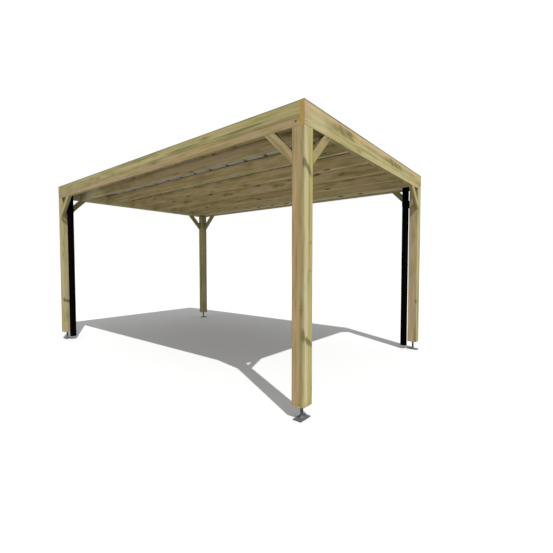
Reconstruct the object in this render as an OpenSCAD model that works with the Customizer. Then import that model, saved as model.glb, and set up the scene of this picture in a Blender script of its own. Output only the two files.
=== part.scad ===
// Open timber carport: four posts on steel feet, knee braces, a deep beam
// round the roof, joists, profiled roof sheets and hidden box gutters.
// X runs across the width, Y along the length, Z up from the ground, with
// the origin at the middle of the plan. The front is at -Y.

/* [Overall] */
// Width over the outer faces of the side beams
width = 3000; // [2400:10:4200]
// Length over the outer faces of the front and back beams
length = 4860; // [3600:10:7200]
// Height from the ground to the top of the beams
height = 2510; // [2200:10:3000]

/* [Posts and beams] */
// Side of the square posts
post_side = 120; // [90:1:150]
// Height of the lower post ends above the ground
post_lift = 115; // [90:1:200]
// Thickness of the beams
beam_thick = 45; // [36:1:70]
// Height of the beams
beam_height = 195; // [185:1:260]
// Chamfer that eases the long edges of the timber
edge_ease = 3; // [1:0.5:6]

/* [Knee braces] */
// Reach of a brace along the beam and down the post
brace_reach = 286; // [200:1:450]
// Width of a brace across its grain, seen from the side
brace_width = 75; // [50:1:95]
// Thickness of a brace
brace_thick = 45; // [36:1:70]

/* [Joists] */
// Number of joists
joist_count = 6; // [4:1:8]
// Thickness of a joist
joist_thick = 45; // [36:1:60]
// Height of a joist
joist_height = 140; // [110:1:145]
// Rise of the joists above the underside of the beams
joist_rise = 0; // [0:1:15]
// Clear width for a gutter between a side beam and the nearest joist
gutter_bay = 267; // [220:1:320]

/* [Roof sheets] */
// Number of sheets side by side
sheet_count = 5; // [4:1:8]
// Spaces between raised ribs on one sheet
ribs_per_sheet = 3; // [2:1:4]
// Thickness of the sheet steel
sheet_thick = 0.7; // [0.5:0.05:1.2]
// Height of a rib above the flat pans
rib_height = 30; // [20:1:40]
// Width of a rib at its foot
rib_foot = 70; // [56:1:84]
// Width of a rib at its crown
rib_crown = 34; // [20:1:44]
// Distance from the end beams to the middle of the outermost ribs
rib_inset = 50; // [48:1:80]
// Height of the small swages that stiffen the pans
swage_height = 3; // [2:0.5:5]
// Width of a swage at its foot
swage_foot = 24; // [18:1:30]
// Width of a swage at its crown
swage_crown = 10; // [6:1:14]
// Height above the pans at which the free flank of an edge rib ends
flank_stop = 5; // [3:0.5:10]
// Overhang of the sheets past the inner lip of a gutter
drip = 40; // [20:1:60]
// Thickness of the flashing at the front and back
flashing_thick = 1; // [0.6:0.1:2]
// Distance from the top of the beams down to the top of the flashing
flashing_drop = 4; // [2:0.5:6]
// Reach of the flashing past the middle of the outermost rib
flashing_reach = 30; // [24:1:45]
// Height of the turned-down lip of the flashing
flashing_lip = 8; // [4:1:12]

/* [Gutters] */
// Width of a gutter
gutter_width = 120; // [100:1:150]
// Depth of a gutter at its inner lip
gutter_depth = 70; // [50:1:90]
// Wall of a gutter
gutter_wall = 2; // [1.5:0.1:3]
// Gap between the sheets and the inner lip of a gutter
gutter_drop = 5; // [3:1:15]
// Rise of the wall against the beam above the inner lip
gutter_upstand = 35; // [10:1:45]

/* [Downpipes] */
// Outer diameter of a downpipe
pipe_diameter = 90; // [63:1:95]
// Wall of a downpipe
pipe_wall = 2; // [1.5:0.1:4]
// Gap between a downpipe and the post beside it
pipe_gap = 15; // [12:1:60]
// Height of the open lower end above the ground
pipe_lift = 50; // [20:1:150]
// Length of the gutter outlet inside the pipe
spigot_length = 45; // [30:1:80]
// Height of a pipe clip
clip_height = 60; // [30:1:80]
// Thickness of the ring of a pipe clip
clip_thick = 4; // [2:0.5:6]
// Width of the arm of a pipe clip
clip_arm = 36; // [20:1:50]
// Distance from the underside of the beams down to the middle of a clip
clip_fall = 200; // [120:1:600]

/* [Feet] */
// Length of a foot plate
plate_length = 140; // [120:1:180]
// Width of a foot plate
plate_width = 80; // [70:1:110]
// Thickness of a foot plate
plate_thick = 8; // [5:0.5:12]
// Distance between the two anchor holes of a plate
anchor_spacing = 100; // [90:1:110]
// Diameter of an anchor hole
anchor_hole = 13; // [9:0.5:16]
// Diameter of the threaded stem
stem_diameter = 24; // [16:1:30]
// Length of the stem inside the post
stem_depth = 120; // [80:1:200]
// Height of the flared collar over the plate
flare_height = 36; // [20:1:50]
// How far the flared collar reaches out from the stem
flare_reach = 18; // [10:1:20]
// Straight rim at the foot of the flared collar
flare_rim = 3; // [2:0.5:5]

/* [Fits] */
// Radial clearance between round pieces that fit in each other
round_clear = 0.3; // [0.2:0.05:0.5]
// Clearance between nested ribs at a side lap
lap_clear = 0.3; // [0.2:0.05:0.5]

/* [Hidden] */
beam_z = height - beam_height;
side_in = width / 2 - beam_thick;
end_in = length / 2 - beam_thick;
post_x = width / 2 - post_side / 2;
post_y = length / 2 - post_side / 2;
stem_r = stem_diameter / 2;

joist_z = beam_z + joist_rise;
roof_z = joist_z + joist_height;
joist_first = -side_in + gutter_bay + joist_thick / 2;
joist_step = -2 * joist_first / (joist_count - 1);

rib_pitch = 2 * (end_in - rib_inset) / (sheet_count * ribs_per_sheet);
sheet_half = side_in - gutter_width + drip;

gutter_x = side_in - gutter_width / 2;
gutter_top = roof_z - gutter_drop;
gutter_z = gutter_top - gutter_depth;
pipe_r = pipe_diameter / 2;
pipe_y = length / 2 - post_side - pipe_gap - pipe_r;
spigot_r = pipe_r - pipe_wall - round_clear;
clip_r = pipe_r + round_clear;
clip_z = beam_z - clip_fall - clip_height / 2;

wood = [0.72, 0.66, 0.48];
shade_wood = [0.62, 0.55, 0.40];
sheet_grey = [0.47, 0.46, 0.44];
black = [0.06, 0.06, 0.07];
steel = [0.33, 0.36, 0.36];

$fn = 64;

// Moves what is drawn at the front left corner to any corner
module at_corner(side, end) {
  mirror([side > 0 ? 1 : 0, 0, 0])
    mirror([0, end > 0 ? 1 : 0, 0])
      children();
}

// Planed timber section with its lower left corner at the origin
module timber_section(w, h) {
  e = edge_ease;
  polygon([[e, 0], [w - e, 0], [w, e], [w, h - e], [w - e, h], [e, h], [0, h - e], [0, e]]);
}

// Timber lying along X, from x = 0
module timber_x(len, w, h) {
  rotate([90, 0, 90])
    linear_extrude(len)
      timber_section(w, h);
}

// Timber lying along Y, centred on y = 0
module timber_y(len, w, h) {
  translate([0, len / 2, 0])
    rotate([90, 0, 0])
      linear_extrude(len)
        timber_section(w, h);
}

module post(side, end) {
  color(wood)
    at_corner(side, end)
      difference() {
        translate([-width / 2, -length / 2, post_lift])
          linear_extrude(beam_z - post_lift)
            timber_section(post_side, post_side);
        translate([-post_x, -post_y, post_lift - 1])
          cylinder(h = stem_depth + 1, r = stem_r + round_clear);
      }
}

// Quarter-ellipse flare that runs from the plate into the stem
module flared_stem() {
  flare = [
    for (a = [0 : 15 : 90])
      [stem_r + flare_reach * (1 - sin(a)), flare_rim + flare_height * (1 - cos(a))]
  ];
  stem_top = post_lift + stem_depth - plate_thick;
  translate([0, 0, plate_thick])
    rotate_extrude()
      polygon(concat([[0, 0], [stem_r + flare_reach, 0]], flare, [[stem_r, stem_top], [0, stem_top]]));
}

module foot_plate() {
  difference() {
    translate([-plate_length / 2, -plate_width / 2, 0])
      cube([plate_length, plate_width, plate_thick]);
    for (s = [-1, 1])
      translate([s * anchor_spacing / 2, 0, -1])
        cylinder(h = plate_thick + 2, d = anchor_hole);
  }
}

// turn = 0 lays the plate across the width, 90 along the length
module foot(side, end, turn) {
  color(steel)
    at_corner(side, end)
      translate([-post_x, -post_y, 0])
        rotate([0, 0, turn])
          union() {
            foot_plate();
            flared_stem();
          }
}

// The front and back beams run the full width and show their end grain at the sides
module end_beam(end) {
  color(wood)
    at_corner(-1, end)
      translate([-width / 2, -length / 2, beam_z])
        timber_x(width, beam_thick, beam_height);
}

module side_beam(side) {
  color(wood)
    at_corner(side, -1)
      translate([-width / 2, 0, beam_z])
        timber_y(2 * end_in, beam_thick, beam_height);
}

// Brace in the corner between a post face at x = 0 and a beam at z = 0,
// with both ends cut square to what they bear on
module knee_brace() {
  run = brace_reach * sqrt(2);
  intersection() {
    translate([0, 0, -brace_reach])
      rotate([0, -45, 0])
        translate([-brace_width, 0, 0])
          timber_x(run + 2 * brace_width, brace_thick, brace_width);
    translate([0, 0, -brace_reach])
      cube([brace_reach, brace_thick, brace_reach]);
  }
}

module end_brace(side, end) {
  color(wood)
    at_corner(side, end)
      translate([post_side - width / 2, -length / 2, beam_z])
        knee_brace();
}

module side_brace(side, end) {
  color(wood)
    at_corner(side, end)
      translate([-width / 2, post_side - length / 2, beam_z])
        mirror([1, -1, 0])
          knee_brace();
}

module joist(i) {
  color(shade_wood)
    translate([joist_first + i * joist_step - joist_thick / 2, 0, joist_z])
      timber_y(2 * end_in, joist_thick, joist_height);
}

// Upper and lower faces of one raised fold of the sheet, centred on c
function fold_top(c, foot, crown, h) =
  [[c - foot / 2, 0], [c - crown / 2, h], [c + crown / 2, h], [c + foot / 2, 0]];
function fold_lean(foot, crown, h) = atan2(h, (foot - crown) / 2);
function fold_under(c, foot, crown, h) =
  let (shift = 2 * sheet_thick * tan(fold_lean(foot, crown, h) / 2))
    [for (p = fold_top(c, foot - shift, crown - shift, h)) [p[0], p[1] - sheet_thick]];

// The free flank of an edge rib stops short of the neighbour's pan
function flank_top(foot, crown, h) = [flank_stop / tan(fold_lean(foot, crown, h)) - foot / 2, flank_stop];
function flank_under(foot, crown, h) =
  let (lean = fold_lean(foot, crown, h))
    flank_top(foot, crown, h) + sheet_thick * [sin(lean), -cos(lean)];

// An edge rib that laps over the neighbour's rib is grown by one sheet and the lap clearance
function lap_grow(lapped) = lapped ? sheet_thick + lap_clear : 0;

// Profile of one sheet in the Y-Z plane, from the middle of its first rib
module sheet_profile(lapped) {
  lean = fold_lean(rib_foot, rib_crown, rib_height);
  grow = lap_grow(lapped);
  foot0 = rib_foot + 2 * grow / sin(lean);
  crown0 = rib_crown + 2 * grow * tan(lean / 2);
  high0 = rib_height + grow;
  last = ribs_per_sheet * rib_pitch;
  folds = [
    for (r = [0 : ribs_per_sheet - 1])
      each concat(
        [for (s = [1, 2]) [(r + s / 3) * rib_pitch, swage_foot, swage_crown, swage_height]],
        r < ribs_per_sheet - 1 ? [[(r + 1) * rib_pitch, rib_foot, rib_crown, rib_height]] : []
      )
  ];
  first_top = fold_top(0, foot0, crown0, high0);
  first_under = fold_under(0, foot0, crown0, high0);
  last_top = fold_top(last, rib_foot, rib_crown, rib_height);
  last_under = fold_under(last, rib_foot, rib_crown, rib_height);
  edge_top = flank_top(rib_foot, rib_crown, rib_height);
  edge_under = flank_under(rib_foot, rib_crown, rib_height);
  upper = concat(
    [flank_top(foot0, crown0, high0)],
    [for (k = [1 : 3]) first_top[k]],
    [for (f = folds) each fold_top(f[0], f[1], f[2], f[3])],
    [for (k = [0 : 2]) last_top[k]],
    [[last - edge_top[0], edge_top[1]]]
  );
  lower = concat(
    [flank_under(foot0, crown0, high0)],
    [for (k = [1 : 3]) first_under[k]],
    [for (f = folds) each fold_under(f[0], f[1], f[2], f[3])],
    [for (k = [0 : 2]) last_under[k]],
    [[last - edge_under[0], edge_under[1]]]
  );
  count = len(lower);
  polygon(concat(upper, [for (k = [1 : count]) lower[count - k]]));
}

// Each sheet laps over the one before it, counted from the front
module roof_sheet(i) {
  color(sheet_grey)
    translate([-sheet_half, rib_inset - end_in + i * ribs_per_sheet * rib_pitch, roof_z + sheet_thick])
      rotate([90, 0, 90])
        linear_extrude(2 * sheet_half)
          sheet_profile(i > 0);
}

// Folded strip that carries the weather from an end beam onto the outermost rib
module flashing(end) {
  t = flashing_thick;
  seat = roof_z + sheet_thick + rib_height;
  rise = height - flashing_drop - seat;
  reach = rib_inset + flashing_reach;
  strip = [
    [0, 0],
    [reach - t, 0],
    [reach - t, -flashing_lip],
    [reach, -flashing_lip],
    [reach, t],
    [t, t],
    [t, rise],
    [0, rise]
  ];
  color(sheet_grey)
    at_corner(-1, end)
      translate([-sheet_half, -end_in, seat])
        rotate([90, 0, 90])
          linear_extrude(2 * sheet_half)
            polygon(strip);
}

// Box gutter along a side beam, closed at both ends, with an outlet near one end
module gutter(side, outlet_end) {
  back = gutter_depth + gutter_upstand;
  trough = [
    [gutter_wall, gutter_wall],
    [gutter_width - gutter_wall, gutter_wall],
    [gutter_width - gutter_wall, back + 1],
    [gutter_wall, back + 1]
  ];
  outline = [
    [0, 0],
    [gutter_width, 0],
    [gutter_width, gutter_depth],
    [gutter_wall, gutter_depth],
    [gutter_wall, back],
    [0, back]
  ];
  color(black)
    at_corner(side, outlet_end)
      difference() {
        union() {
          translate([-side_in, end_in, gutter_z])
            rotate([90, 0, 0])
              linear_extrude(2 * end_in)
                polygon(outline);
          translate([-gutter_x, -pipe_y, gutter_z - spigot_length])
            cylinder(h = spigot_length + gutter_wall / 2, r = spigot_r);
        }
        translate([-side_in, end_in - gutter_wall, gutter_z])
          rotate([90, 0, 0])
            linear_extrude(2 * (end_in - gutter_wall))
              polygon(trough);
        translate([-gutter_x, -pipe_y, gutter_z - spigot_length - 1])
          cylinder(h = spigot_length + gutter_wall + 2, r = spigot_r - gutter_wall);
      }
}

module downpipe(side, end) {
  color(black)
    at_corner(side, end)
      translate([-gutter_x, -pipe_y, pipe_lift])
        difference() {
          cylinder(h = gutter_z - pipe_lift, r = pipe_r);
          translate([0, 0, -1])
            cylinder(h = gutter_z - pipe_lift + 2, r = pipe_r - pipe_wall);
        }
}

// Ring round the pipe with an arm that bears on the inner face of the post
module pipe_clip(side, end) {
  face_y = post_side - length / 2;
  pad_x = post_side - width / 2 - edge_ease;
  arm = [
    [-gutter_x - clip_arm / 2, -pipe_y],
    [-gutter_x + clip_arm / 2, -pipe_y],
    [pad_x, face_y],
    [pad_x - clip_arm, face_y]
  ];
  color(black)
    at_corner(side, end)
      translate([0, 0, clip_z])
        difference() {
          union() {
            translate([-gutter_x, -pipe_y, 0])
              cylinder(h = clip_height, r = clip_r + clip_thick);
            linear_extrude(clip_height)
              polygon(arm);
          }
          translate([-gutter_x, -pipe_y, -1])
            cylinder(h = clip_height + 2, r = clip_r);
        }
}

post(-1, -1);  // post_front_left
post(1, -1);  // post_front_right
post(-1, 1);  // post_back_left
post(1, 1);  // post_back_right
foot(-1, -1, 0);  // foot_front_left
foot(1, -1, 90);  // foot_front_right
foot(-1, 1, 90);  // foot_back_left
foot(1, 1, 0);  // foot_back_right
end_beam(-1);  // front_beam
end_beam(1);  // back_beam
side_beam(-1);  // left_beam
side_beam(1);  // right_beam
end_brace(-1, -1);  // brace_front_left
end_brace(1, -1);  // brace_front_right
end_brace(-1, 1);  // brace_back_left
end_brace(1, 1);  // brace_back_right
side_brace(-1, -1);  // brace_left_front
side_brace(-1, 1);  // brace_left_back
side_brace(1, -1);  // brace_right_front
side_brace(1, 1);  // brace_right_back
for (i = [1 : joist_count])
  joist(i - 1);
for (i = [1 : sheet_count])
  roof_sheet(i - 1);
flashing(-1);  // flashing_front
flashing(1);  // flashing_back
gutter(-1, 1);  // gutter_left
gutter(1, -1);  // gutter_right
downpipe(1, -1);  // downpipe_front_right
downpipe(-1, 1);  // downpipe_back_left
pipe_clip(1, -1);  // pipe_clip_front_right
pipe_clip(-1, 1);  // pipe_clip_back_left
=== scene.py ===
# %% [markdown]
# # An open carport of treated pine
# The carport is a flat roof on four square posts: planed pine boards, knee braces, grey profiled
# sheets, hidden gutters and two black downpipes. The imported model already holds every one of
# these pieces at its real size, so this lesson only adds the finish, the small fixings, the
# light and the camera.

# %% Load the frame
import math
import random
from collections import namedtuple

import bmesh
import bpy
from mathutils import Matrix, Vector


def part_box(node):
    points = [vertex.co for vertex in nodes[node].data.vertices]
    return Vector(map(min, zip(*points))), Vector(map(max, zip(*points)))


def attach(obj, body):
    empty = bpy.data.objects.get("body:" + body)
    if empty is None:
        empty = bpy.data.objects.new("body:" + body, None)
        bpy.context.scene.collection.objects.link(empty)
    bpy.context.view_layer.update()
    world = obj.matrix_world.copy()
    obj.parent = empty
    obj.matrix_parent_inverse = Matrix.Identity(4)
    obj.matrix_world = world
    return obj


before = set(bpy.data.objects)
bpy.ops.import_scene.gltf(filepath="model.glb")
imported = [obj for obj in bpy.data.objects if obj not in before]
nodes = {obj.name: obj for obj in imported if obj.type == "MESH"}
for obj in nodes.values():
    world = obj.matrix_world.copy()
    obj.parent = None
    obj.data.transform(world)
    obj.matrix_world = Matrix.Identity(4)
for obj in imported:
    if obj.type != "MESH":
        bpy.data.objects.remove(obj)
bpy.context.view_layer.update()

# %% [markdown]
# ## The camera
# The picture is taken from chest height, a few steps off the front left corner, with a wide
# lens. A wide lens close by is what makes the near post so tall and the roof edges so steep, so
# the distance matters as much as the angle. Depth of field stays off: everything is sharp.

# %% Camera
EYE_M = (-3.698, -3.911, 1.259)
HEADING_DEG = -51.405
TILT_DEG = -2.273
LENS_MM = 22.258
SENSOR_MM = 36.0

camera_data = bpy.data.cameras.new("camera")
camera_data.lens = LENS_MM
camera_data.sensor_width = SENSOR_MM
camera = bpy.data.objects.new("camera", camera_data)
camera.location = EYE_M
camera.rotation_euler = (math.radians(90 + TILT_DEG), 0, math.radians(HEADING_DEG))
bpy.context.collection.objects.link(camera)
bpy.context.scene.camera = camera
print("camera at", EYE_M)

# %% [markdown]
# ## Colours and nodes
# Colours are written as the sRGB hex values one would read off a paint card, and one function
# turns them into the linear numbers that Blender mixes. A second small function adds a shader
# node with its settings and its links, so that each material below reads like a short recipe.


# %% Helpers for materials
def linear(hex_colour):
    """sRGB hex to linear RGBA."""
    parts = [int(hex_colour[i:i + 2], 16) / 255 for i in (1, 3, 5)]
    rgb = [p / 12.92 if p <= 0.04045 else ((p + 0.055) / 1.055) ** 2.4 for p in parts]
    return (*rgb, 1.0)


def add(tree, kind, links=None, stops=None, **settings):
    """Adds a node. links maps an input's name or number to a socket or to a plain value."""
    node = tree.nodes.new(kind)
    for name, value in settings.items():
        setattr(node, name, value)
    for key, value in (links or {}).items():
        if isinstance(value, bpy.types.NodeSocket):
            tree.links.new(value, node.inputs[key])
        else:
            node.inputs[key].default_value = value
    for i, (place, colour) in enumerate(stops or []):
        ramp = node.color_ramp.elements
        stop = ramp[i] if i < 2 else ramp.new(place)
        stop.position = place
        stop.color = colour
    return node


def new_material(name):
    """An empty material, its tree and its surface shader."""
    material = bpy.data.materials.new(name)
    material.use_nodes = True
    tree = material.node_tree
    shader = tree.nodes["Principled BSDF"]
    return material, tree, shader


print("mid grey in linear:", [round(v, 3) for v in linear("#808080")])

# %% [markdown]
# ## The floor
# The carport stands on a plain white floor that runs far past the picture. A floor as white as
# it looks would throw too much light up under the roof, so the paint is lighter for the camera's
# rays than for all others. Matt paint has no glints, so the shadow lies on it as one even grey. The
# floor is stage: it is not part of the carport.

# %% Floor
FLOOR_SIZE_M = 240.0
FLOOR_FOR_EYE = "#c8c8c8"
FLOOR_FOR_LIGHT = "#989898"

bpy.ops.mesh.primitive_plane_add(size=FLOOR_SIZE_M, location=(0, 0, 0))
floor = bpy.context.object
floor.name = "floor"
paint, tree, shader = new_material("white floor paint, rolled matt")
ray = add(tree, "ShaderNodeLightPath").outputs["Is Camera Ray"]
seen = add(tree, "ShaderNodeMix", {
    0: ray, 6: linear(FLOOR_FOR_LIGHT), 7: linear(FLOOR_FOR_EYE)}, data_type="RGBA").outputs[2]
tree.links.new(seen, shader.inputs["Base Color"])
shader.inputs["Roughness"].default_value = 0.9
shader.inputs["Specular IOR Level"].default_value = 0.0
floor.data.materials.append(paint)
print("floor", FLOOR_SIZE_M, "m square")

# %% [markdown]
# ## Sun and fill
# One sun gives the slanting shadow and makes the front brighter than the side. Its disc is small,
# so the shadow keeps a crisp edge. A wide, weak lamp low on the left lights the sides of the
# joists, as a white card beside a studio set would. The lamp itself stays out of the picture.

# %% Sun and fill lamp
SUN_TRAVEL = Vector((0.815, 1.57, -2.5))
SUN_STRENGTH = 4.6
SUN_ANGLE_DEG = 0.6
FILL_AT = Vector((-6.0, -0.6, 0.35))
FILL_AIM = Vector((0.0, 0.0, 2.3))
FILL_SIZE_M = (6.0, 1.0)
FILL_WATT = 62.0

sun_data = bpy.data.lights.new("sun", "SUN")
sun_data.energy = SUN_STRENGTH
sun_data.angle = math.radians(SUN_ANGLE_DEG)
sun = bpy.data.objects.new("sun", sun_data)
sun.rotation_euler = SUN_TRAVEL.to_track_quat("-Z", "Y").to_euler()
bpy.context.collection.objects.link(sun)

fill_data = bpy.data.lights.new("fill", "AREA")
fill_data.shape = "RECTANGLE"
fill_data.size, fill_data.size_y = FILL_SIZE_M
fill_data.energy = FILL_WATT
fill_lamp = bpy.data.objects.new("fill", fill_data)
fill_lamp.location = FILL_AT
fill_lamp.rotation_euler = (FILL_AIM - FILL_AT).to_track_quat("-Z", "Y").to_euler()
fill_lamp.visible_camera = False
bpy.context.collection.objects.link(fill_lamp)
print("sun", SUN_STRENGTH, "and fill", FILL_WATT, "W")

# %% [markdown]
# ## The sky
# A soft white sky fills the shade. It lights the carport a little less than a full white would,
# while the camera sees a plain white background, so two backgrounds share one mix. The standard
# view transform keeps white as white and leaves the wood colours as they are mixed here.

# %% Sky
SKY_STRENGTH = 0.72

world = bpy.data.worlds.new("white sky")
bpy.context.scene.world = world
world.use_nodes = True
sky = world.node_tree
sky.nodes.clear()
ray = add(sky, "ShaderNodeLightPath").outputs["Is Camera Ray"]
soft = add(sky, "ShaderNodeBackground", {"Color": (1, 1, 1, 1), "Strength": SKY_STRENGTH})
plain = add(sky, "ShaderNodeBackground", {"Color": (1, 1, 1, 1), "Strength": 1.0})
both = add(sky, "ShaderNodeMixShader", {0: ray, 1: soft.outputs[0], 2: plain.outputs[0]})
add(sky, "ShaderNodeOutputWorld", {"Surface": both.outputs[0]})
bpy.context.scene.view_settings.view_transform = "Standard"
print("sky", SKY_STRENGTH)

# %% [markdown]
# ## Treated pine: the log
# The timber is planed pine, soaked with a green preservative under pressure. A flat picture of
# wood would not agree from one face of a board to the next, so the material is a whole log: it
# is worked out in space, with x along the log and the pith, its middle line, at zero. Each board
# is then cut out of its log, as at the sawmill. The pith wanders a little, which draws the flames.


# %% Lay a log along the board
PITH_WANDER_MM = 55.0      # how far the pith strays over the length of a board
BENDS_PER_M = (0.9, 2.5, 2.5)  # one bend in about 1.1 m along the log and in 0.4 m across it


def board_axes(grain):
    """Unit vectors along a board and across it, the last one upwards where it can be."""
    along = Vector(grain).normalized()
    up = Vector((0, 0, 1)) if abs(along.z) < 0.9 else Vector((0, 1, 0))
    across = up.cross(along).normalized()
    return along, across, along.cross(across)


def log_space(tree, grain, pith, start_m):
    """Coordinates of the log in metres, and the distance of each point from its pith."""
    turn = Matrix(board_axes(grain))
    shift = Vector((start_m, 0, 0)) - turn @ Vector(pith)
    place = add(tree, "ShaderNodeTexCoord").outputs["Object"]
    log = add(tree, "ShaderNodeMapping", {
        "Vector": place, "Location": shift, "Rotation": turn.to_euler("XYZ")}).outputs[0]
    slow = add(tree, "ShaderNodeVectorMath", {0: log, 1: BENDS_PER_M}, operation="MULTIPLY").outputs[0]
    wander = add(tree, "ShaderNodeTexNoise", {"Vector": slow, "Scale": 1.0, "Detail": 2.0})
    stray = PITH_WANDER_MM / 1000
    bent = add(tree, "ShaderNodeVectorMath", {
        0: wander.outputs["Color"], 1: (0, stray, stray), 2: log}, operation="MULTIPLY_ADD").outputs[0]
    flat = add(tree, "ShaderNodeVectorMath", {0: bent, 1: (0, 1, 1)}, operation="MULTIPLY").outputs[0]
    middle = add(tree, "ShaderNodeVectorMath", {
        0: flat, 1: (0, stray / 2, stray / 2)}, operation="SUBTRACT").outputs[0]
    radius = add(tree, "ShaderNodeVectorMath", {0: middle}, operation="LENGTH").outputs["Value"]
    return place, log, radius


def drawn_out(tree, log, long_mm, wide_mm, detail=2.0):
    """Cloudy noise drawn out along the grain, with patches about this long and wide."""
    size = (1000 / long_mm, 1000 / wide_mm, 1000 / wide_mm)
    scaled = add(tree, "ShaderNodeVectorMath", {0: log, 1: size}, operation="MULTIPLY").outputs[0]
    noise = add(tree, "ShaderNodeTexNoise", {"Vector": scaled, "Scale": 1.0, "Detail": detail})
    return noise.outputs["Fac"]


print("pith wanders", PITH_WANDER_MM, "mm")

# %% [markdown]
# ## Treated pine: heart and sap
# The sapwood near the bark drinks the preservative and turns olive. The heartwood hardly takes
# any and stays tan. Both have long bands of lighter and darker wood, so each gets a ramp of three
# colours over the same bands, and the distance from the pith chooses between the two. The bands
# also push the border in and out, because a perfectly round heart would look turned.

# %% Heartwood and sapwood
BAND_MM = (1500.0, 30.0)
BAND_PUSH_M = 0.06         # how far the bands push the border between heart and sap
SAP_FROM_M = 0.012         # outwards from the heart, the sapwood sets in here
SAP_FULL_M = 0.05
PINE = {
    "heart_dark": "#907d50",
    "heart": "#a69464",
    "heart_rose": "#b29e79",
    "sap_dark": "#857e47",
    "sap": "#a99f66",
    "sap_pale": "#b9af7c",
}


def heart_and_sap(tree, band, edge, heart_m):
    """Tan heartwood inside, olive sapwood outside."""
    heart = add(tree, "ShaderNodeValToRGB", {"Fac": band}, stops=[
        (0.32, linear(PINE["heart_dark"])), (0.48, linear(PINE["heart"])),
        (0.66, linear(PINE["heart_rose"]))]).outputs[0]
    sapwood = add(tree, "ShaderNodeValToRGB", {"Fac": band}, stops=[
        (0.32, linear(PINE["sap_dark"])), (0.47, linear(PINE["sap"])),
        (0.66, linear(PINE["sap_pale"]))]).outputs[0]
    drunk = add(tree, "ShaderNodeMapRange", {
        "Value": edge, "From Min": heart_m + SAP_FROM_M, "From Max": heart_m + SAP_FULL_M}).outputs[0]
    return add(tree, "ShaderNodeMix", {0: drunk, 6: heart, 7: sapwood}, data_type="RGBA").outputs[2]


print("bands", BAND_MM[0], "mm long and", BAND_MM[1], "mm wide")

# %% [markdown]
# ## Treated pine: green line and rings
# Where heartwood and sapwood meet, the preservative stops and leaves a dark green line, broken
# along the grain. The growth rings follow the radius: pale early wood, then a darker edge of late
# wood. They are drawn about 6 mm apart, wider than in slow-grown pine, because finer ones would
# not show in the picture.

# %% Green line and growth rings
STREAK_MM = (600.0, 12.0)
RING_MM = 5.8
LINE_FROM_M = 0.01         # outwards from the heart, the green line lies between these two
LINE_TO_M = 0.07
PINE["border"] = "#636a35"


def green_line(tree, wood, edge, streak, heart_m):
    """The broken green line where heartwood and sapwood meet."""
    across = add(tree, "ShaderNodeMapRange", {
        "Value": edge, "From Min": heart_m + LINE_FROM_M, "From Max": heart_m + LINE_TO_M}).outputs[0]
    line = add(tree, "ShaderNodeValToRGB", {"Fac": across}, stops=[
        (0.0, (0, 0, 0, 1)), (0.12, (0, 0, 0, 1)), (0.33, (0.8, 0.8, 0.8, 1)),
        (0.7, (0, 0, 0, 1))]).outputs[0]
    broken = add(tree, "ShaderNodeMath", {0: line, 1: streak}, operation="MULTIPLY").outputs[0]
    return add(tree, "ShaderNodeMix", {
        0: broken, 6: wood, 7: linear(PINE["border"])}, data_type="RGBA").outputs[2]


def growth_rings(tree, wood, radius):
    """Darker late wood in every ring. Gives the colour and the place within the ring."""
    count = add(tree, "ShaderNodeMath", {0: radius, 1: RING_MM / 1000}, operation="DIVIDE").outputs[0]
    ring = add(tree, "ShaderNodeMath", {0: count}, operation="FRACT").outputs[0]
    late = add(tree, "ShaderNodeValToRGB", {"Fac": ring}, stops=[
        (0.0, (1, 1, 1, 1)), (0.5, (1, 1, 1, 1)), (0.86, (0.74, 0.7, 0.64, 1)),
        (1.0, (1, 1, 1, 1))]).outputs[0]
    ringed = add(tree, "ShaderNodeMix", {
        0: 1.0, 6: wood, 7: late}, data_type="RGBA", blend_type="MULTIPLY").outputs[2]
    return ringed, ring


def clear_wood(tree, log, radius, heart_m):
    """Wood without knots or stains, its rings, and the streaks that later stains follow."""
    band = drawn_out(tree, log, *BAND_MM, detail=3.0)
    streak = drawn_out(tree, log, *STREAK_MM)
    edge = add(tree, "ShaderNodeMath", {
        0: band, 1: BAND_PUSH_M, 2: radius}, operation="MULTIPLY_ADD").outputs[0]
    wood = heart_and_sap(tree, band, edge, heart_m)
    wood = green_line(tree, wood, edge, streak, heart_m)
    wood, ring = growth_rings(tree, wood, radius)
    return wood, ring, streak


print("rings", RING_MM, "mm apart")

# %% [markdown]
# ## Treated pine: patches
# The planer cuts through wood that took the preservative unevenly, so hand-sized patches of a
# board are rosy or mossy. One cloudy noise does both: its high spots blush, its low spots turn
# green. Without them the boards look printed.

# %% Rosy and mossy patches
PATCH_MM = (260.0, 42.0)
PINE["rose"] = "#b39a80"
PINE["stain"] = "#6b672f"


def patched(tree, log, wood):
    """Rosy patches where the noise is high, mossy ones where it is low."""
    noise = drawn_out(tree, log, *PATCH_MM)
    for tint, full_at, most in (("rose", 0.72, 0.5), ("stain", 0.28, 0.4)):
        patch = add(tree, "ShaderNodeMapRange", {
            "Value": noise, "From Min": 0.5, "From Max": full_at, "To Min": 0.0, "To Max": most}).outputs[0]
        wood = add(tree, "ShaderNodeMix", {
            0: patch, 6: wood, 7: linear(PINE[tint])}, data_type="RGBA").outputs[2]
    return wood


print("patches", PATCH_MM[0], "mm long")

# %% [markdown]
# ## Treated pine: knots
# A knot is a branch that the log grew round. They come every few hand widths, small and brown,
# and the grain beside them is stained olive along the board. One Voronoi cell holds one possible
# knot. Its own random colour decides if there is one, because a knot in every cell would look
# like wallpaper.

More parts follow.
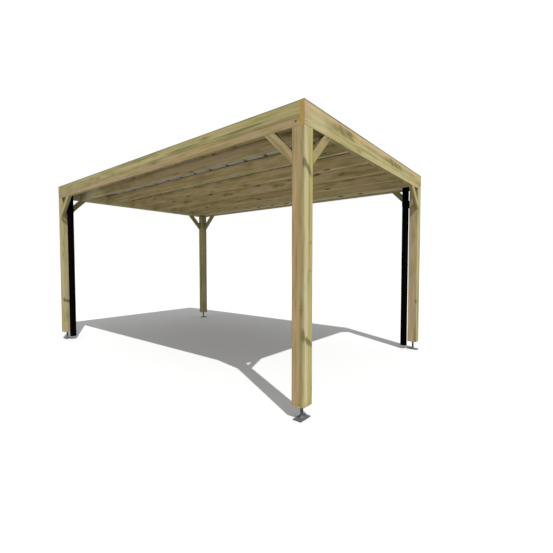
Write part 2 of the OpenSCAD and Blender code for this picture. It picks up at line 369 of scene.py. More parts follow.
# %% Knots and their halo
KNOT_CELL_MM = (330.0, 90.0, 90.0)
KNOT_MM = 11.0             # radius of a knot
KNOT_STRETCH = 0.7         # a knot is cut at a slant, so it is a little longer along the grain
KNOT_CORE = 0.35           # share of a knot that is fully brown
KNOT_COVER = 0.8           # how far the brown hides the wood
HALO_MM = 34.0             # reach of the olive stain across the grain
HALO_STRETCH = 0.28        # the stain reaches about four times as far along the grain
HALO_CORE = 0.2
KNOT_SHARE = 0.55          # cells that hold a knot
PINE["knot"] = "#513a20"


def spot_mask(tree, offset, stretch, core, reach_mm, strength):
    """Fades from strength to nothing between a core and the reach of a spot."""
    drawn = add(tree, "ShaderNodeVectorMath", {
        0: offset, 1: (stretch, 1, 1)}, operation="MULTIPLY").outputs[0]
    away = add(tree, "ShaderNodeVectorMath", {0: drawn}, operation="LENGTH").outputs["Value"]
    return add(tree, "ShaderNodeMapRange", {
        "Value": away, "From Min": core * reach_mm / 1000, "From Max": reach_mm / 1000,
        "To Min": strength, "To Max": 0.0}, interpolation_type="SMOOTHSTEP").outputs[0]


def knotted(tree, log, wood, streak):
    """Knots with a stain beside them, in about half of the cells."""
    cell = Vector(KNOT_CELL_MM) / 1000
    cells = add(tree, "ShaderNodeVectorMath", {0: log, 1: cell}, operation="DIVIDE").outputs[0]
    spots = add(tree, "ShaderNodeTexVoronoi", {"Vector": cells, "Scale": 1.0})
    offset = add(tree, "ShaderNodeVectorMath", {
        0: cells, 1: spots.outputs["Position"]}, operation="SUBTRACT").outputs[0]
    real = add(tree, "ShaderNodeVectorMath", {0: offset, 1: cell}, operation="MULTIPLY").outputs[0]
    chance = add(tree, "ShaderNodeSeparateColor", {"Color": spots.outputs["Color"]}).outputs[0]
    kept = add(tree, "ShaderNodeMath", {0: chance, 1: KNOT_SHARE}, operation="LESS_THAN").outputs[0]
    halo = spot_mask(tree, real, HALO_STRETCH, HALO_CORE, HALO_MM, kept)
    stain = add(tree, "ShaderNodeMath", {0: halo, 1: streak}, operation="MULTIPLY").outputs[0]
    wood = add(tree, "ShaderNodeMix", {
        0: stain, 6: wood, 7: linear(PINE["stain"])}, data_type="RGBA").outputs[2]
    knot = spot_mask(tree, real, KNOT_STRETCH, KNOT_CORE, KNOT_MM, kept)
    brown = add(tree, "ShaderNodeMath", {0: knot, 1: KNOT_COVER}, operation="MULTIPLY").outputs[0]
    return add(tree, "ShaderNodeMix", {
        0: brown, 6: wood, 7: linear(PINE["knot"])}, data_type="RGBA").outputs[2]


print("knots about", 2 * KNOT_MM, "mm across")

# %% [markdown]
# ## Treated pine: marks of single boards
# Noise alone never puts a knot where the real board has one. So a board may carry a list of
# marks: a middle, a reach along x, y and z, a colour, a strength and, if needed, a lean. Each is a
# soft ball, squashed to its reach and frayed by the streaks of the wood. The green stains are made
# of slanting strokes, as if wiped on.

# %% Marks
STROKE_MM = 152.0          # spacing of the slanting strokes along a board
WEAK_STROKE = 0.45         # strength of a stain between two strokes
FRAY = 0.9                 # how far the streaks eat into a mark, as a share of its reach
FADE_FROM = 0.75           # a mark is full up to this share of its frayed reach
FADE_TO = 1.45
Mark = namedtuple("Mark", "middle_mm reach_mm tint strength lean_deg", defaults=(0.0,))
PINE.update({
    "yellow": "#b0a25c",
    "orange": "#a97f45",
    "red": "#6d4530",
    "olive": "#5d5930",
    "grey": "#8f8763",
    "pale": "#c4ba93",
    "palest": "#efe4b4",
    "peach": "#bfa678",
    "dark_top_edge": "#51482a",
    # the colour of painted shade, on upward slopes and in a corner under the roof
    "painted_shade": "#453f26",
    "end": "#9a7c2c",
})


def strokes(tree, log, strength):
    """Strength that comes and goes in slanting strokes."""
    wave_m = math.tau / 10  # the wave texture repeats after this length at a scale of 1
    wave = add(tree, "ShaderNodeTexWave", {
        "Vector": log, "Scale": wave_m / (STROKE_MM / 1000), "Distortion": 3.0, "Detail": 2.0},
        bands_direction="DIAGONAL").outputs["Fac"]
    return add(tree, "ShaderNodeMapRange", {
        "Value": wave, "From Min": 0.2, "From Max": 0.7,
        "To Min": WEAK_STROKE, "To Max": strength}).outputs[0]


def marked(tree, place, log, wood, streak, marks):
    """Puts the marks of one board over its wood."""
    for mark in marks:
        ball = add(tree, "ShaderNodeMapping", {
            "Vector": place, "Location": Vector(mark.middle_mm) / 1000,
            "Rotation": (0, math.radians(mark.lean_deg), 0),
            "Scale": Vector(mark.reach_mm) / 1000}, vector_type="TEXTURE").outputs[0]
        away = add(tree, "ShaderNodeVectorMath", {0: ball}, operation="LENGTH").outputs["Value"]
        frayed = add(tree, "ShaderNodeMath", {
            0: streak, 1: FRAY, 2: away}, operation="MULTIPLY_ADD").outputs[0]
        most = strokes(tree, log, mark.strength) if mark.tint == "stain" else mark.strength
        mask = add(tree, "ShaderNodeMapRange", {
            "Value": frayed, "From Min": FADE_FROM, "From Max": FADE_TO, "To Min": most, "To Max": 0.0},
            interpolation_type="SMOOTHSTEP").outputs[0]
        wood = add(tree, "ShaderNodeMix", {
            0: mask, 6: wood, 7: linear(PINE[mark.tint])}, data_type="RGBA").outputs[2]
    return wood


print("pine palette:", len(PINE), "colours")

# %% [markdown]
# ## Treated pine: sawn ends and painted shade on slopes
# A sawn end drinks the most preservative and turns mustard, with the rings showing as arcs. The
# material knows an end by its normal, which points along the grain there. Faces that slope upwards,
# such as the upper sides of the braces and the eased edges along the tops, get a painted shade that
# makes them nearly black. Flat tops get less of this painted shade.

# %% Sawn ends and painted shade on slopes
PINE["end_late"] = "#7d6422"


def sawn_ends(tree, wood, normal, grain, ring):
    """Mustard end grain with darker late wood."""
    facing = add(tree, "ShaderNodeVectorMath", {
        0: normal, 1: Vector(grain).normalized()}, operation="DOT_PRODUCT").outputs["Value"]
    square = add(tree, "ShaderNodeMath", {0: facing}, operation="ABSOLUTE").outputs[0]
    end = add(tree, "ShaderNodeMapRange", {
        "Value": square, "From Min": 0.75, "From Max": 0.95, "To Min": 0.0, "To Max": 0.75}).outputs[0]
    sawn = add(tree, "ShaderNodeValToRGB", {"Fac": ring}, stops=[
        (0.0, linear(PINE["end"])), (0.5, linear(PINE["end"])), (0.85, linear(PINE["end_late"])),
        (1.0, linear(PINE["end"]))]).outputs[0]
    return add(tree, "ShaderNodeMix", {0: end, 6: wood, 7: sawn}, data_type="RGBA").outputs[2]


def painted_slope_shade(tree, wood, normal):
    """Painted shade on slopes that face up, less of it on level tops, none on upright faces."""
    rise = add(tree, "ShaderNodeSeparateXYZ", {0: normal}).outputs["Z"]
    slope_shade = add(tree, "ShaderNodeValToRGB", {"Fac": rise}, stops=[
        (0.4, (0, 0, 0, 1)), (0.6, (0.85, 0.85, 0.85, 1)), (0.8, (0.85, 0.85, 0.85, 1)),
        (0.95, (0.3, 0.3, 0.3, 1))]).outputs[0]
    return add(tree, "ShaderNodeMix", {
        0: slope_shade, 6: wood, 7: linear(PINE["painted_shade"])}, data_type="RGBA").outputs[2]


print("end grain", PINE["end"])

# %% [markdown]
# ## Treated pine: all together
# Last come the fibres: they lighten and darken every colour below them, and a shallow bump lets
# them and the late wood catch the light. Real fibres are far finer than the bundles drawn here,
# which are as coarse as they need to be to show. Planed pine is dull but not chalky, so its
# roughness lies around 0.7. A tone sets how dark the whole board is; for boards in the shade of
# the roof it is raised, which paints light into that shade.

# %% The pine material
FIBRE_MM = (240.0, 3.8)
FIBRE_SHADE = (0.86, 1.1)  # darkest and lightest fibre, as a share of the wood's colour
RELIEF_M = 0.0006
PINE_IOR = 1.53
PINE_ROUGH = (0.62, 0.8)


def planed(tree, shader, ring, fibre):
    """Relief and dull gloss of a planed face."""
    relief = add(tree, "ShaderNodeMath", {0: ring, 1: 0.5, 2: fibre}, operation="MULTIPLY_ADD").outputs[0]
    bump = add(tree, "ShaderNodeBump", {"Height": relief, "Strength": 0.25, "Distance": RELIEF_M})
    tree.links.new(bump.outputs[0], shader.inputs["Normal"])
    rough = add(tree, "ShaderNodeMapRange", {
        "Value": fibre, "To Min": PINE_ROUGH[0], "To Max": PINE_ROUGH[1]}).outputs[0]
    tree.links.new(rough, shader.inputs["Roughness"])
    shader.inputs["IOR"].default_value = PINE_IOR
    shader.inputs["Specular IOR Level"].default_value = 0.3


def pine(name, grain, pith, heart_m, seed, tone, marks):
    """Solid pine. grain is the log's direction, pith a point on its middle line."""
    material, tree, shader = new_material(name)
    start_m = random.Random(seed).uniform(5, 40)
    place, log, radius = log_space(tree, grain, pith, start_m)
    wood, ring, streak = clear_wood(tree, log, radius, heart_m)
    wood = patched(tree, log, wood)
    wood = knotted(tree, log, wood, streak)
    wood = marked(tree, place, log, wood, streak, marks)
    fibre = drawn_out(tree, log, *FIBRE_MM, detail=3.0)
    shade = add(tree, "ShaderNodeMapRange", {
        "Value": fibre, "From Min": 0.25, "From Max": 0.75,
        "To Min": FIBRE_SHADE[0] * tone, "To Max": FIBRE_SHADE[1] * tone}).outputs[0]
    wood = add(tree, "ShaderNodeMix", {
        0: 1.0, 6: wood, 7: shade}, data_type="RGBA", blend_type="MULTIPLY").outputs[2]
    normal = add(tree, "ShaderNodeNewGeometry").outputs["Normal"]
    wood = sawn_ends(tree, wood, normal, grain, ring)
    # painted shade on every face that slopes upwards
    wood = painted_slope_shade(tree, wood, normal)
    tree.links.new(wood, shader.inputs["Base Color"])
    planed(tree, shader, ring, fibre)
    return material


print("fibres drawn", FIBRE_MM[1], "mm wide")

# %% [markdown]
# ## Sawing the boards from their logs
# Each board gets its own log, so no two look alike. For the boards that show most, the pith is
# put where it gives the bands seen on the real ones: the side beam is tan low down and olive
# above, the front beam the other way round. The tones are matched: the joists and the back beam,
# in the shade of the roof, get lighter tones than the sunlit boards, which is painted light, and
# the braces and posts are darker.

# %% Where the chosen boards come from
CHOSEN_MM = {              # pith across and up from the middle of the section, radius of the heart
    "left_beam": (20, -130, 125),
    "front_beam": (20, 120, 105),
    "post_front_left": (-38, 22, 52),
    "post_back_left": (90, 60, 40),
    "post_front_right": (-50, 50, 75),
    "post_back_right": (70, -70, 50),
    "brace_left_front": (0, 10, 90),
    "brace_front_left": (0, 10, 90),
    "brace_left_back": (60, -70, 40),
    "brace_front_right": (-60, 70, 40),
    "joist_1": (0, 40, 118),
    "joist_2": (15, 70, 140),
    "joist_3": (-10, 60, 132),
    "joist_4": (10, 50, 126),
    "joist_5": (-15, 75, 143),
    "joist_6": (0, 60, 134),
}
# the higher tones of the joists and the back beam are painted light in the shade of the roof
TONE = {                   # of a kind of board, or of one board that differs from its kind
    "front": 0.85, "back": 1.05, "left": 0.76, "right": 0.95,
    "post": 0.8, "post_back_left": 0.76, "post_front_right": 0.86,
    "brace": 0.79, "brace_front_left": 0.63, "brace_front_right": 0.74,
    "joist": 1.28, "joist_1": 1.1, "joist_2": 1.18,
}
print(len(CHOSEN_MM), "boards have a chosen pith")

# %% [markdown]
# ## Marks on the beams
# The front beam is peach along its top and has two pairs of green stains. Its top edge and that of
# the side beam carry a dark line. The side beam has one red knot close to the near corner, a green
# streak along its middle, and a row of knots along its lower edge, which show from underneath. The
# far faces under the roof are made paler, which is painted light in their shade, and the inner face
# of the side beam on the right has a painted bright line low down. A painted shade darkens the
# corner under the front beam behind the near brace. A mark sits on a face of its board, and those
# faces come from the frame.


# %% Marks on the beams
def left_side(name):
    """X of a board's left face in mm."""
    return round(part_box(name)[0].x * 1000)


def front_side(name):
    """Y of a board's front face in mm."""
    return round(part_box(name)[0].y * 1000)


MARKS = {}
front = front_side("front_beam")
MARKS["front_beam"] = [
    Mark((0, front, 2490), (4000, 60, 52), "peach", 0.75),
    Mark((-1330, front, 2390), (260, 60, 110), "pale", 0.45),
    Mark((-880, front, 2440), (250, 60, 60), "stain", 0.8),
    Mark((-720, front, 2440), (160, 60, 55), "stain", 0.75),
    Mark((-620, front, 2435), (140, 60, 20), "yellow", 0.8),
    Mark((-960, front, 2490), (60, 60, 12), "orange", 0.7),
    Mark((340, front, 2440), (260, 60, 60), "stain", 0.9),
    Mark((560, front, 2435), (190, 60, 50), "stain", 0.85),
    Mark((-1465, front, 2450), (60, 60, 160), "rose", 0.6),
    Mark((1320, front, 2450), (260, 60, 60), "yellow", 0.8),
    # a dark line along the top edge of the beam
    Mark((0, front, 2515), (4500, 40, 24), "dark_top_edge", 1.0),
    # painted shade in the corner between the near post, the front beam and its brace
    Mark((-1290, front + 25, 2313), (110, 40, 8), "painted_shade", 0.7),
]
outer = left_side("left_beam")
MARKS["left_beam"] = [
    Mark((outer, -2345, 2358), (12, 16, 11), "red", 1.0),
    Mark((outer, -1740, 2430), (60, 520, 16), "border", 0.9),
    Mark((outer, -900, 2440), (60, 380, 14), "border", 0.7),
    # a dark line along the top edge of the beam
    Mark((outer, 0, 2515), (40, 7000, 20), "dark_top_edge", 0.7),
    Mark((outer, -1150, 2395), (60, 420, 24), "orange", 0.4),
]
for y in (-1640, -1190, -750, -470, -190, 425, 1010):
    MARKS["left_beam"].append(Mark((outer + 35, y, 2315), (16, 52, 12), "knot", 0.9))
MARKS["left_beam"].append(Mark((outer + 30, 1700, 2313), (60, 1500, 7), "palest", 0.3))
inner = left_side("right_beam")
MARKS["right_beam"] = [
    # painted light over the inner face, in the shade of the roof
    Mark((inner, 0, 2350), (14, 9000, 90), "pale", 0.35),
    # a painted highlight: a bright line low along the inner face
    Mark((inner, 0, 2356), (20, 9000, 17), "palest", 1.0),
]
for y in (-1515, -1170, -25, 300, 655):
    MARKS["right_beam"].append(Mark((inner, y, 2367), (30, 70, 16), "knot", 0.9))
# painted light over the inner face of the back beam, in the shade of the roof
MARKS["back_beam"] = [Mark((0, front_side("back_beam"), 2400), (9000, 14, 400), "palest", 0.4)]
print(sum(len(marks) for marks in MARKS.values()), "marks on the beams")

# %% [markdown]
# ## Marks on the joists
# Seen from below, the joists show knots in a row, since a branch whorl comes back about once a
# metre along a pine. One joist also has a green stain between each two of them, and the first joist
# turns paler towards the back. Nearly all the marks lie on the left faces, which show most.

# %% Marks on the joists
JOIST_ROWS = [             # joist, y of each mark, height, reach, colour and strength
    ("joist_1", (-1035, 620, 1610), 2435, (30, 60, 14), "knot", 0.9),
    ("joist_1", (2200,), 2385, (14, 900, 300), "palest", 0.4),
    ("joist_3", (-1900, -610, 655), 2323, (30, 60, 12), "knot", 0.9),
    ("joist_3", (-1300,), 2345, (30, 600, 20), "stain", 0.5),
    ("joist_4", (-1480, -435, 640, 1705), 2426, (30, 70, 16), "knot", 0.9),
    ("joist_4", (-1830, -820, 245, 1305), 2375, (40, 185, 36), "stain", 0.9),
    ("joist_5", (-1375, -40, 1305), 2328, (30, 70, 15), "knot", 0.9),
]
MARKS["joist_1"] = [Mark((left_side("joist_1") + 18, -635, 2315), (30, 50, 14), "knot", 0.9)]
for name, places, z, reach_mm, tint, strength in JOIST_ROWS:
    for y in places:
        mark = Mark((left_side(name), y, z), reach_mm, tint, strength)
        MARKS.setdefault(name, []).append(mark)
print(sum(len(row[1]) for row in JOIST_ROWS) + 1, "marks on the joists")

# %% [markdown]
# ## Marks on posts and braces
# The posts have long stripes from end to end: a grey corner, a rosy middle, a pale and a yellow
# stripe on the sunny face. Two hooked stains, high and low, are knots cut at a slant, so they lean.
# On the far left post the high one is also a painted shadow of its brace.
# The lower end of the near post has soaked up a little more preservative than the rest, and the
# brace beside it is cut from yellow sapwood.

# %% Marks on posts and braces
STRIPE_MM = 3000           # longer than a post, so a stripe has no visible end
MID_POST_MM = 1210         # about half way up
left = left_side("post_front_left")
front = front_side("post_front_left")
MARKS["post_front_left"] = [
    Mark((left, front + 120, MID_POST_MM), (40, 14, STRIPE_MM), "grey", 0.6),
    Mark((left, front + 58, MID_POST_MM), (40, 38, STRIPE_MM), "orange", 0.28),
    Mark((left, front + 14, MID_POST_MM), (10, 20, STRIPE_MM), "grey", 0.45),
    Mark((left + 30, front, MID_POST_MM), (34, 12, STRIPE_MM), "pale", 0.7),
    Mark((left + 96, front, MID_POST_MM), (30, 12, STRIPE_MM), "yellow", 0.6),
    Mark((left + 88, front, 1418), (20, 20, 26), "orange", 1.0),
    Mark((left + 88, front, 1198), (20, 20, 22), "orange", 1.0),
    Mark((left + 4, front + 6, 2030), (24, 30, 60), "olive", 0.7),
    Mark((left + 50, front, 1996), (108, 40, 34), "olive", 0.8, 48),
    Mark((left + 60, front + 60, 108), (400, 400, 55), "end", 0.35),
    Mark((left + 2, front + 10, 690), (24, 30, 70), "olive", 0.7),
    Mark((left + 56, front, 636), (100, 40, 32), "olive", 0.8, 36),
]
left = left_side("post_back_left")
front = front_side("post_back_left")
MARKS["post_back_left"] = [
    Mark((left + 80, front, MID_POST_MM), (46, 14, STRIPE_MM), "rose", 0.7),
    Mark((left, front + 62, MID_POST_MM), (14, 60, STRIPE_MM), "pale", 0.45),
    # partly painted shadow: the high hook lies where the brace casts its shadow on this face
    Mark((left + 6, front + 8, 1985), (24, 30, 70), "olive", 0.8),
    Mark((left + 54, front, 1925), (108, 40, 40), "olive", 0.9, 48),
    Mark((left + 6, front + 8, 660), (24, 40, 44), "olive", 0.8),
    Mark((left + 60, front, 634), (110, 40, 34), "olive", 0.9, 12),
]
left = left_side("post_front_right")
front = front_side("post_front_right")
MARKS["post_front_right"] = [
    Mark((left, front + 60, MID_POST_MM), (14, 80, STRIPE_MM), "rose", 0.4),
    Mark((left + 2, front + 6, 706), (20, 24, 44), "olive", 0.8),
]
front = front_side("brace_front_left")
MARKS["brace_front_left"] = [
    Mark((-1350, front, 2100), (70, 80, 90), "yellow", 1.0),
    Mark((-1220, front, 2205), (140, 80, 130), "yellow", 0.6),
]
print(sum(len(marks) for marks in MARKS.values()), "marks on", len(MARKS), "boards")

# %% [markdown]
# ## Dressing the timbers
# Now every timber gets its own log: along the board for beams, posts and joists, on the slant for
# the braces. Boards without a chosen pith draw one at random, from one seed, so the carport looks
# the same each time it is made.


# %% Give every timber its log
def dress(name, material):
    """Gives a piece one material."""
    slots = nodes[name].data.materials
    slots.clear()
    slots.append(material)


GRAIN = {"post": (0, 0, 1), "front": (1, 0, 0), "back": (1, 0, 0),
         "left": (0, 1, 0), "right": (0, 1, 0), "joist": (0, 1, 0)}
BRACE_GRAIN = {"front_left": (1, 0, 1), "back_left": (1, 0, 1), "front_right": (-1, 0, 1),
               "back_right": (-1, 0, 1), "left_front": (0, 1, 1), "right_front": (0, 1, 1),
               "left_back": (0, -1, 1), "right_back": (0, -1, 1)}
timbers = sorted(n for n in nodes if n.split("_")[0] in ("post", "brace", "joist") or n.endswith("_beam"))
draw = random.Random(7)
for number, name in enumerate(timbers):
    low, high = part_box(name)
    kind, _, place_name = name.partition("_")
    grain = BRACE_GRAIN[place_name] if kind == "brace" else GRAIN[kind]
    along, side, lift = board_axes(grain)
    drawn = (draw.uniform(-60, 60), draw.choice((-1, 1)) * draw.uniform(40, 130), draw.uniform(60, 130))
    across_mm, up_mm, heart_mm = CHOSEN_MM.get(name, drawn)
    pith = (low + high) / 2 + side * across_mm / 1000 + lift * up_mm / 1000
    tone = TONE.get(name, TONE.get(kind))
    wood = pine("treated pine, planed, " + name.replace("_", " "), grain, pith, heart_mm / 1000,
                seed=100 + number, tone=tone, marks=MARKS.get(name, ()))
    dress(name, wood)
print(len(timbers), "timbers dressed")

# %% [markdown]
# ## Paint, plastic and zinc
# Paint, plastic and plating have no grain, but none of them is one flat colour: slow blotches vary
# the colour and the gloss, and a fine grit in the skin breaks the highlights. One function does
# that for all of them. The grit is drawn about 1 mm wide, coarser than real orange peel, so that
# it shows at all.


# %% A coated surface
GRIT_MM = 1.2
GRIT_DEEP_M = 0.0005
GLOSS_SPREAD = 0.08        # the blotches make the gloss come and go by this much


def coated(name, colour, blot, rough, metallic=0.0, spec=0.5, blot_mm=90.0, below=None):
    """A smooth skin with faint blotches and a fine grit. below may change the colour underneath."""
    material, tree, shader = new_material(name)
    place = add(tree, "ShaderNodeTexCoord").outputs["Object"]
    cloud = add(tree, "ShaderNodeTexNoise", {
        "Vector": place, "Scale": 1000 / blot_mm, "Detail": 4.0}).outputs["Fac"]
    grit = add(tree, "ShaderNodeTexNoise", {
        "Vector": place, "Scale": 1000 / GRIT_MM, "Detail": 2.0}).outputs["Fac"]
    amount = add(tree, "ShaderNodeMapRange", {"Value": cloud, "From Min": 0.35, "From Max": 0.7}).outputs[0]
    skin = add(tree, "ShaderNodeMix", {
        0: amount, 6: linear(colour), 7: linear(blot)}, data_type="RGBA").outputs[2]
    if below:
        skin = below(tree, place, skin)
    tree.links.new(skin, shader.inputs["Base Color"])
    gloss = add(tree, "ShaderNodeMapRange", {
        "Value": cloud, "To Min": rough - GLOSS_SPREAD, "To Max": rough + GLOSS_SPREAD}).outputs[0]
    tree.links.new(gloss, shader.inputs["Roughness"])
    dents = add(tree, "ShaderNodeBump", {"Height": grit, "Strength": 0.05, "Distance": GRIT_DEEP_M})
    tree.links.new(dents.outputs[0], shader.inputs["Normal"])
    shader.inputs["Metallic"].default_value = metallic
    shader.inputs["Specular IOR Level"].default_value = spec
    return material


print("grit drawn", GRIT_MM, "mm wide")

# %% [markdown]
# ## The back of the roof sheets
# Roofing steel is painted on top and has only a light backing coat below, which is the pale strip
# that shows between the joists. A painted shade darkens it beside each joist and towards the end
# beams. The distance to the nearest joist comes from folding the width like a fan, with one fold
# to each joist.

# %% Backing coat and its painted shade
JOISTS = ["joist_%d" % n for n in range(1, 7)]
JOIST_X_M = [sum(corner.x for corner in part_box(name)) / 2 for name in JOISTS]
JOIST_STEP_M = JOIST_X_M[1] - JOIST_X_M[0]
JOIST_HALF_M = (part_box("joist_1")[1].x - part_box("joist_1")[0].x) / 2
JOIST_SHADE_M = 0.022             # reach of the painted shade beside a joist
JOIST_SHADE_CORE = 0.6            # share of that strip that is fully shaded
SHADE_COVER = 0.9           # how far the painted shade hides the coat
END_SHADE_M = (1.77, 1.92)  # where the painted shade by the end beams sets in, from its shifted middle
END_SHADE_SHIFT_M = 0.15        # the painted shade by the end beams reaches further in at the front
BACKING = "#b4b2ad"
# colour of the painted shade on the backing coat
COAT_SHADE = "#6b644c"


def backing_coat(tree, place, top):
    """The painted colour on faces that look up, the backing coat with painted shade on those that look
    down.
    """
    spot = add(tree, "ShaderNodeSeparateXYZ", {0: place})
    counted = add(tree, "ShaderNodeMath", {
        0: spot.outputs["X"], 1: JOIST_X_M[0]}, operation="SUBTRACT").outputs[0]
    beside = add(tree, "ShaderNodeMath", {
        0: counted, 1: JOIST_STEP_M / 2}, operation="PINGPONG").outputs[0]
    strip = add(tree, "ShaderNodeMapRange", {
        "Value": beside, "From Min": JOIST_HALF_M + JOIST_SHADE_CORE * JOIST_SHADE_M,
        "From Max": JOIST_HALF_M + JOIST_SHADE_M, "To Min": SHADE_COVER, "To Max": 0.0},
        interpolation_type="SMOOTHSTEP").outputs[0]
    along = add(tree, "ShaderNodeMath", {
        0: spot.outputs["Y"], 1: END_SHADE_SHIFT_M}, operation="SUBTRACT").outputs[0]
    outwards = add(tree, "ShaderNodeMath", {0: along}, operation="ABSOLUTE").outputs[0]
    ends = add(tree, "ShaderNodeMapRange", {
        "Value": outwards, "From Min": END_SHADE_M[0], "From Max": END_SHADE_M[1],
        "To Min": 0.0, "To Max": SHADE_COVER}).outputs[0]
    # painted shade beside each joist and towards the end beams
    shade_mask = add(tree, "ShaderNodeMath", {0: strip, 1: ends}, operation="MAXIMUM").outputs[0]
    back = add(tree, "ShaderNodeMix", {
        0: shade_mask, 6: linear(BACKING), 7: linear(COAT_SHADE)}, data_type="RGBA").outputs[2]
    normal = add(tree, "ShaderNodeNewGeometry").outputs["Normal"]
    rise = add(tree, "ShaderNodeSeparateXYZ", {0: normal}).outputs["Z"]
    above = add(tree, "ShaderNodeMath", {0: rise, 1: 0.0}, operation="GREATER_THAN").outputs[0]
    return add(tree, "ShaderNodeMix", {0: above, 6: back, 7: top}, data_type="RGBA").outputs[2]


print("joists every", round(JOIST_STEP_M * 1000, 1), "mm")

# %% [markdown]
# ## Roof sheets, gutters, pipes and feet
# The sheets are steel, painted on the coil before it is folded, so the paint is even and slightly
# glossy. The gutters are aluminium with a black powder coat, a satin skin. The pipes are extruded
# plastic, so black and so dull that only their outline tells their form. The feet are steel with a
# zinc plating whose oxide has made it grey and blotchy rather than shiny.

# %% Finishes of metal and plastic
sheet_paint = coated("coil-coated steel, grey with a light backing coat", "#76797b", "#6c6f72", 0.45,
                     blot_mm=400, below=backing_coat)
gutter_coat = coated("aluminium, black powder coat", "#1b1b1c", "#232323", 0.5, spec=0.3)
pipe_skin = coated("black plastic, extruded", "#020202", "#030303", 0.6, spec=0.015)
foot_zinc = coated("zinc-plated steel, dulled by its oxide", "#545b58", "#464c4a", 0.6,
                   metallic=0.2, blot_mm=18)
FINISH = {"roof": sheet_paint, "flashing": sheet_paint, "gutter": gutter_coat,
          "downpipe": pipe_skin, "pipe": pipe_skin, "foot": foot_zinc}
coated_names = [name for name in nodes if name.split("_")[0] in FINISH]
for name in coated_names:
    dress(name, FINISH[name.split("_")[0]])
print("metals and plastic on", len(coated_names), "pieces")

# %% [markdown]
# ## Small turned parts
# Screws and washers are turned or pressed round one axis, so a part can be given as a short list
# of rings: how far from the axis, how high, and whether that ring is round, six-sided for a
# spanner or star-shaped for a driver bit. Stacking the rings and joining them makes a closed mesh.
# A primitive cylinder would be quicker, but then every screw would look like a peg.


# %% Stack rings into a part
STEPS = 24                 # corners of each ring
STAR_DEPTH = 0.14          # how far the points of a star stand out, as a share of its radius


def reach(radius, angle, shape):
    """Distance from the axis to a round, six-sided or star-shaped ring in one direction."""
    if shape == "hex":
        return radius / math.cos((angle + math.pi / 6) % (math.pi / 3) - math.pi / 6)
    if shape == "star":
        return radius * (1 + STAR_DEPTH * math.cos(6 * angle))
    return radius


def turned(mesh, rings, foot, axis):
    """Adds a part made of rings (radius and height in mm, shape), with its foot at a point."""
    place = Matrix.Translation(foot) @ Vector(axis).to_track_quat("Z", "Y").to_matrix().to_4x4()
    stack = []
    for radius, height, shape in rings:
        loop = []
        for step in range(STEPS):
            angle = math.tau * step / STEPS
            out = reach(radius, angle, shape) / 1000
            point = Vector((out * math.cos(angle), out * math.sin(angle), height / 1000))
            loop.append(mesh.verts.new(place @ point))
        stack.append(loop)
    for low, high in zip(stack, stack[1:]):
        for i in range(STEPS):
            j = (i + 1) % STEPS
            mesh.faces.new((low[i], low[j], high[j], high[i]))
    mesh.faces.new(stack[0][::-1])
    mesh.faces.new(stack[-1])


def piece(name, mesh, material):
    """Turns a mesh into a piece that belongs to the carport."""
    data = bpy.data.meshes.new(name)
    mesh.to_mesh(data)
    mesh.free()
    data.materials.append(material)
    made = bpy.data.objects.new(name, data)
    bpy.context.collection.objects.link(made)
    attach(made, "root")
    print(name, len(data.polygons), "faces")


print("rings of", STEPS, "corners")

# %% [markdown]
# ## Screws in the timber
# The end beams are screwed to the ends of the side beams and the joists. They are countersunk
# construction screws with a star recess, and their heads sit a hair proud of the planed wood. The
# plating has the yellow tint of its rust protection, so the heads show as small brassy dots. Each
# row sits on the middle line of the board behind, which the frame gives.

# %% Screws through the end beams
TIMBER_SCREW = [(2.6, -4.0, "round"), (4.6, -0.6, "round"), (4.6, 0.1, "round"), (4.2, 0.35, "round"),
                (1.75, 0.35, "star"), (1.6, -2.0, "star")]
screw_zinc = coated("zinc-plated steel, yellow passivated", "#85734a", "#74633c", 0.45,
                    metallic=0.8, blot_mm=4)
screws = bmesh.new()
for end, facing in (("front_beam", -1), ("back_beam", 1)):
    low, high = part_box(end)
    face_y = low.y if facing < 0 else high.y
    for joined in ["left_beam", "right_beam"] + JOISTS:
        box_low, box_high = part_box(joined)
        middle_x = (box_low.x + box_high.x) / 2
        rows = 3 if joined.endswith("beam") else 2
        for row in range(rows):
            z = box_low.z + (box_high.z - box_low.z) * (row + 0.5) / rows
            turned(screws, TIMBER_SCREW, (middle_x, face_y, z), (0, facing, 0))
print("screws through the end beams:", len(screws.verts) // (STEPS * len(TIMBER_SCREW)))

# %% [markdown]
# ## Screws in the braces
# Each brace has a screw near either end, driven square through its slanting underside into the
# post or the beam. The underside is the plane that looks down and towards the middle of the bay,
# so the screw's axis is the same for both ends of a brace.

# %% Screws through the braces
SCREW_SHARE = 0.62         # place of the screws, from the middle of the brace to its ends
for name in timbers:
    if not name.startswith("brace"):
        continue
    low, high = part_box(name)
    middle = (low + high) / 2
    if name.split("_")[1] in ("front", "back"):
        inward = Vector((-math.copysign(1, middle.x), 0, 0))
    else:
        inward = Vector((0, -math.copysign(1, middle.y), 0))
    half = (high.z - low.z) / 2
    for share in (-SCREW_SHARE, SCREW_SHARE):
        foot = middle + (inward + Vector((0, 0, 1))) * half * share
        turned(screws, TIMBER_SCREW, foot, inward - Vector((0, 0, 1)))
piece("timber_screws", screws, screw_zinc)

# %% [markdown]
# ## Roofing screws
# The sheets are held by self-drilling screws with a six-sided head and a sealing washer, one in
# each pan over each joist, and more along the crowns where one sheet laps over the next. The
# flashings are held on the outermost ribs in the same way. Their heads are painted like the roof.
# The heights come from the boxes of the sheets, so the washers always lie on the steel.

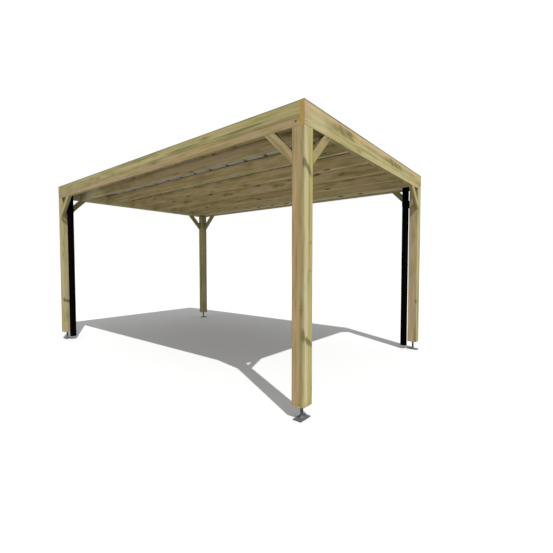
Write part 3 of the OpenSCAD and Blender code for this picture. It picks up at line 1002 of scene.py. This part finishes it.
# %% Roofing screws
ROOF_SCREW = [(8.0, -0.4, "round"), (8.0, 0.9, "round"), (7.0, 1.8, "round"), (5.6, 1.9, "round"),
              (5.6, 2.7, "round"), (4.0, 2.9, "hex"), (4.0, 6.6, "hex"), (3.4, 7.1, "hex")]
PANS = 15                  # flat pans between the ribs
LAP_EVERY = 3              # every third rib is a side lap or an outermost rib
RIB_INSET_M = 0.05         # from an end beam to the middle of the outermost rib
SHEET_M = 0.0007           # thickness of the steel
first_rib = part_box("front_beam")[1].y + RIB_INSET_M
rib_step = -2 * first_rib / PANS
sheet_low, sheet_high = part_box("roof_sheet_2")
roofing = bmesh.new()
for pan in range(PANS):
    y = first_rib + (pan + 0.5) * rib_step
    for x in JOIST_X_M:
        turned(roofing, ROOF_SCREW, (x, y, sheet_low.z + SHEET_M), (0, 0, 1))
for rib in range(0, PANS + 1, LAP_EVERY):
    y = first_rib + rib * rib_step
    for x in JOIST_X_M[:-1]:
        turned(roofing, ROOF_SCREW, (x + JOIST_STEP_M / 2, y, sheet_high.z), (0, 0, 1))
piece("roofing_screws", roofing, sheet_paint)

# %% [markdown]
# ## Threads on the feet
# Each foot is a plate with a threaded stem that screws up into the post, so the height can be
# set on uneven ground. A few centimetres of thread stay bare under the post. The ridge is one
# long wedge wound round the stem. The pitch is drawn at 4 mm, a little coarser than the real 3 mm.

# %% Thread ridges
PITCH_MM = 4.0
ROOT_MM = 11.5             # just inside the stem, so that no gap shows
CREST_MM = 12.7
FLANK_MM = 0.44 * PITCH_MM  # half the width of the ridge at its root, so its turns nearly meet
TURN_STEPS = 32
BARE_FROM_M = 0.049        # just over the flared collar
POST_GAP_M = 0.002         # the ridge stops this far under the post
WEDGE_MM = ((ROOT_MM, -FLANK_MM), (CREST_MM, 0.0), (ROOT_MM, FLANK_MM))
threads = bmesh.new()
for corner in ("front_left", "front_right", "back_left", "back_right"):
    low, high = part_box("foot_" + corner)
    middle = (low + high) / 2
    bare_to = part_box("post_" + corner)[0].z - POST_GAP_M
    count = int((bare_to - BARE_FROM_M) * 1000 / PITCH_MM * TURN_STEPS)
    before = None
    for step in range(count + 1):
        angle = math.tau * step / TURN_STEPS
        outward = Vector((math.cos(angle), math.sin(angle), 0))
        stem = Vector((middle.x, middle.y, BARE_FROM_M + step * PITCH_MM / TURN_STEPS / 1000))
        wedge = []
        for radius, rise in WEDGE_MM:
            wedge.append(threads.verts.new(stem + outward * radius / 1000 + Vector((0, 0, rise / 1000))))
        if before is None:
            threads.faces.new(wedge)
        else:
            for i in range(3):
                j = (i + 1) % 3
                threads.faces.new((before[i], wedge[i], wedge[j], before[j]))
        before = wedge
    threads.faces.new(before[::-1])
piece("stem_threads", threads, foot_zinc)
